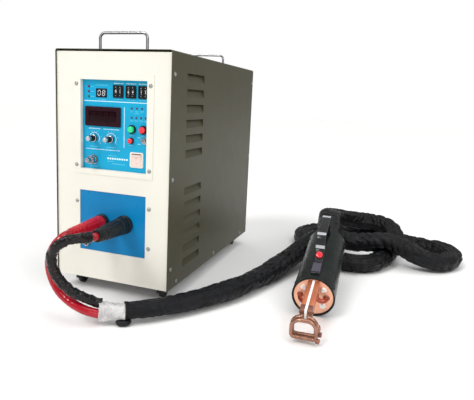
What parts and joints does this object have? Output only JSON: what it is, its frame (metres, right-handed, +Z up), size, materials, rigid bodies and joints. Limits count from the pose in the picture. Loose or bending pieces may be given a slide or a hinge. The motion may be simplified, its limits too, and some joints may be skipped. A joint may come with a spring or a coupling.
{
  "type": "induction heating machine",
  "caption": "Cabinet on castors with a recessed control panel, two plugged water-cooled power leads in a fabric sleeve, and a hand-held work head with a copper coil.",
  "frame": {"origin": "on the floor, below the middle of the box round cabinet and work head together (leads, plugs and sleeve left out)", "axes": "+Z up, -Y is the way the control panel looks, +X is to the right seen from the front, towards the work head"},
  "size_m": [0.9489, 0.9481, 0.599],
  "materials": {
    "cabinet_paint": "satin",
    "panel_cream": "satin",
    "panel_blue": "satin",
    "insulating_sheet": "matte",
    "black_plastic": "matte",
    "cream_plastic": "satin",
    "green_cap": "gloss",
    "red_cap": "gloss",
    "red_rubber": "satin",
    "black_rubber": "matte",
    "chrome_steel": "polished",
    "zinc_steel": "satin",
    "aluminium": "satin",
    "brass": "polished",
    "copper": "satin",
    "circuit_board": "gloss",
    "capacitor_can": "satin",
    "sleeve_fabric": "matte",
    "clear_wrap": "gloss",
    "ptfe": "matte",
    "castor_rubber": "matte"
  },
  "bodies": {
    "cabinet": {"base_pan": "zinc_steel", "wrap_cover": "cabinet_paint", "front_panel": "panel_cream", "rear_panel": "panel_cream", "control_bezel": "panel_cream", "control_panel": "panel_blue", "meter_housing": "black_plastic", "display_board": "circuit_board", "pushwheel_housings": "black_plastic", "switch_bodies": "black_plastic", "toggle_switch": "chrome_steel", "rocker_bezel": "cream_plastic", "control_socket": "chrome_steel", "output_panel": "insulating_sheet", "output_sockets": "black_plastic", "top_handles": "chrome_steel", "panel_screws": "zinc_steel", "cooling_fan": "black_plastic", "cold_plate": "aluminium", "capacitor_bank": "capacitor_can", "control_board": "circuit_board", "water_fittings": "brass", "mains_gland": "black_plastic", "red_plug": "red_rubber", "black_plug": "black_rubber", "power_leads": "red_rubber", "tape_joint": "clear_wrap", "hose_sleeve": "sleeve_fabric"},
    "digit_wheel_1": {"digit_wheel_1": "black_plastic"},
    "digit_wheel_2": {"digit_wheel_2": "black_plastic"},
    "digit_wheel_3": {"digit_wheel_3": "black_plastic"},
    "digit_wheel_4": {"digit_wheel_4": "black_plastic"},
    "digit_wheel_5": {"digit_wheel_5": "black_plastic"},
    "digit_wheel_6": {"digit_wheel_6": "black_plastic"},
    "power_knob": {"power_knob": "black_plastic"},
    "time_knob": {"time_knob": "black_plastic"},
    "start_button": {"start_button": "green_cap"},
    "stop_button": {"stop_button": "red_cap"},
    "reset_button": {"reset_button": "red_cap"},
    "toggle_lever": {"toggle_lever": "chrome_steel"},
    "rocker": {"rocker": "cream_plastic"},
    "castor_fork_fl": {"castor_fork_fl": "zinc_steel"},
    "castor_wheel_fl": {"castor_wheel_fl": "castor_rubber"},
    "castor_fork_fr": {"castor_fork_fr": "zinc_steel"},
    "castor_wheel_fr": {"castor_wheel_fr": "castor_rubber"},
    "castor_fork_rl": {"castor_fork_rl": "zinc_steel"},
    "castor_wheel_rl": {"castor_wheel_rl": "castor_rubber"},
    "castor_fork_rr": {"castor_fork_rr": "zinc_steel"},
    "castor_wheel_rr": {"castor_wheel_rr": "castor_rubber"},
    "fan_rotor": {"fan_rotor": "black_plastic"},
    "head": {"head_shell": "black_plastic", "head_front_plate": "copper", "head_rear_cap": "black_plastic", "head_handle": "black_plastic", "head_busbars": "copper", "head_transformer": "capacitor_can", "bar_insulator": "ptfe", "work_coil": "copper", "face_bolts": "zinc_steel"},
    "trigger_button": {"trigger_button": "red_cap"}
  },
  "joints": [
    {"name": "digit_wheel_1_turn", "type": "hinge", "parent": "cabinet", "child": "digit_wheel_1", "pos_m": [-0.1696, -0.2529, 0.467], "axis": [1, 0, 0], "continuous": true},
    {"name": "digit_wheel_2_turn", "type": "hinge", "parent": "cabinet", "child": "digit_wheel_2", "pos_m": [-0.1592, -0.2529, 0.467], "axis": [1, 0, 0], "continuous": true},
    {"name": "digit_wheel_3_turn", "type": "hinge", "parent": "cabinet", "child": "digit_wheel_3", "pos_m": [-0.1381, -0.2529, 0.467], "axis": [1, 0, 0], "continuous": true},
    {"name": "digit_wheel_4_turn", "type": "hinge", "parent": "cabinet", "child": "digit_wheel_4", "pos_m": [-0.1277, -0.2529, 0.467], "axis": [1, 0, 0], "continuous": true},
    {"name": "digit_wheel_5_turn", "type": "hinge", "parent": "cabinet", "child": "digit_wheel_5", "pos_m": [-0.1071, -0.2529, 0.467], "axis": [1, 0, 0], "continuous": true},
    {"name": "digit_wheel_6_turn", "type": "hinge", "parent": "cabinet", "child": "digit_wheel_6", "pos_m": [-0.0967, -0.2529, 0.467], "axis": [1, 0, 0], "continuous": true},
    {"name": "power_knob_turn", "type": "hinge", "parent": "cabinet", "child": "power_knob", "pos_m": [-0.2254, -0.2717, 0.362], "axis": [0, 1, 0], "range_deg": [-150, 150]},
    {"name": "time_knob_turn", "type": "hinge", "parent": "cabinet", "child": "time_knob", "pos_m": [-0.1824, -0.2717, 0.362], "axis": [0, 1, 0], "range_deg": [-150, 150]},
    {"name": "start_button_push", "type": "slide", "parent": "cabinet", "child": "start_button", "axis": [0, 1, 0], "range_m": [0, 0.003], "stiffness_N_per_m": 300},
    {"name": "stop_button_push", "type": "slide", "parent": "cabinet", "child": "stop_button", "axis": [0, 1, 0], "range_m": [0, 0.003], "stiffness_N_per_m": 300},
    {"name": "reset_button_push", "type": "slide", "parent": "cabinet", "child": "reset_button", "axis": [0, 1, 0], "range_m": [0, 0.002], "stiffness_N_per_m": 300},
    {"name": "toggle_flip", "type": "hinge", "parent": "cabinet", "child": "toggle_lever", "pos_m": [-0.0984, -0.2597, 0.363], "axis": [1, 0, 0], "range_deg": [0, 22]},
    {"name": "rocker_flip", "type": "hinge", "parent": "cabinet", "child": "rocker", "pos_m": [-0.1169, -0.2567, 0.3205], "axis": [1, 0, 0], "range_deg": [-14, 0]},
    {"name": "castor_swivel_fl", "type": "hinge", "parent": "cabinet", "child": "castor_fork_fl", "pos_m": [-0.2859, -0.2267, 0.036], "axis": [0, 0, 1], "continuous": true},
    {"name": "castor_roll_fl", "type": "hinge", "parent": "castor_fork_fl", "child": "castor_wheel_fl", "pos_m": [-0.2859, -0.2197, 0.014], "axis": [1, 0, 0], "continuous": true},
    {"name": "castor_swivel_fr", "type": "hinge", "parent": "cabinet", "child": "castor_fork_fr", "pos_m": [-0.0659, -0.2267, 0.036], "axis": [0, 0, 1], "continuous": true},
    {"name": "castor_roll_fr", "type": "hinge", "parent": "castor_fork_fr", "child": "castor_wheel_fr", "pos_m": [-0.0659, -0.2197, 0.014], "axis": [1, 0, 0], "continuous": true},
    {"name": "castor_swivel_rl", "type": "hinge", "parent": "cabinet", "child": "castor_fork_rl", "pos_m": [-0.2859, 0.2433, 0.036], "axis": [0, 0, 1], "continuous": true},
    {"name": "castor_roll_rl", "type": "hinge", "parent": "castor_fork_rl", "child": "castor_wheel_rl", "pos_m": [-0.2859, 0.2503, 0.014], "axis": [1, 0, 0], "continuous": true},
    {"name": "castor_swivel_rr", "type": "hinge", "parent": "cabinet", "child": "castor_fork_rr", "pos_m": [-0.0659, 0.2433, 0.036], "axis": [0, 0, 1], "continuous": true},
    {"name": "castor_roll_rr", "type": "hinge", "parent": "castor_fork_rr", "child": "castor_wheel_rr", "pos_m": [-0.0659, 0.2503, 0.014], "axis": [1, 0, 0], "continuous": true},
    {"name": "fan_spin", "type": "hinge", "parent": "cabinet", "child": "fan_rotor", "pos_m": [-0.1759, 0.2683, 0.366], "axis": [0, 1, 0], "continuous": true},
    {"name": "head_lift", "type": "slide", "parent": "cabinet", "child": "head", "axis": [0.0077, -0.1907, 0.9816], "range_m": [0, 0.08]},
    {"name": "trigger_push", "type": "slide", "parent": "head", "child": "trigger_button", "axis": [-0.0305, 0.7598, -0.6494], "range_m": [0, 0.003], "stiffness_N_per_m": 300}
  ]
}
